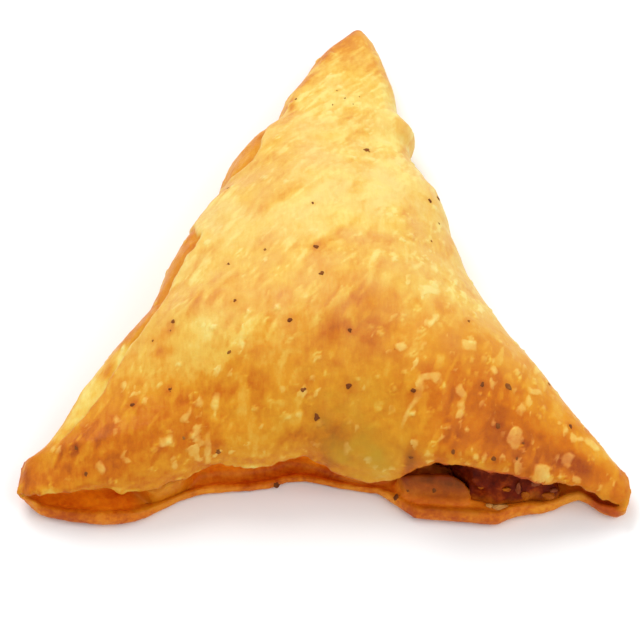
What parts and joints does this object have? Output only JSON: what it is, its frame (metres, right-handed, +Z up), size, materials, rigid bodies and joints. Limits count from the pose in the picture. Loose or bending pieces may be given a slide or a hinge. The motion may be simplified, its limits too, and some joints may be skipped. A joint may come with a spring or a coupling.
{
  "type": "samosa",
  "caption": "Triangular fried samosa lying flat, golden blistered pastry with a loose lip along the seam side and dark spiced filling showing in a pocket.",
  "frame": {"origin": "bottom centre of the bounding box, on the surface the samosa rests on", "axes": "+Z up from the table, +Y from the seam side towards the apex, +X to the right seen from the seam side"},
  "size_m": [0.11, 0.1094, 0.0282],
  "materials": {
    "dough": "satin, blistered and flaky, lightly oily",
    "spiced_filling": "moist and glossy"
  },
  "bodies": {
    "root": {"pastry": "dough", "filling": "spiced_filling"}
  },
  "joints": []
}
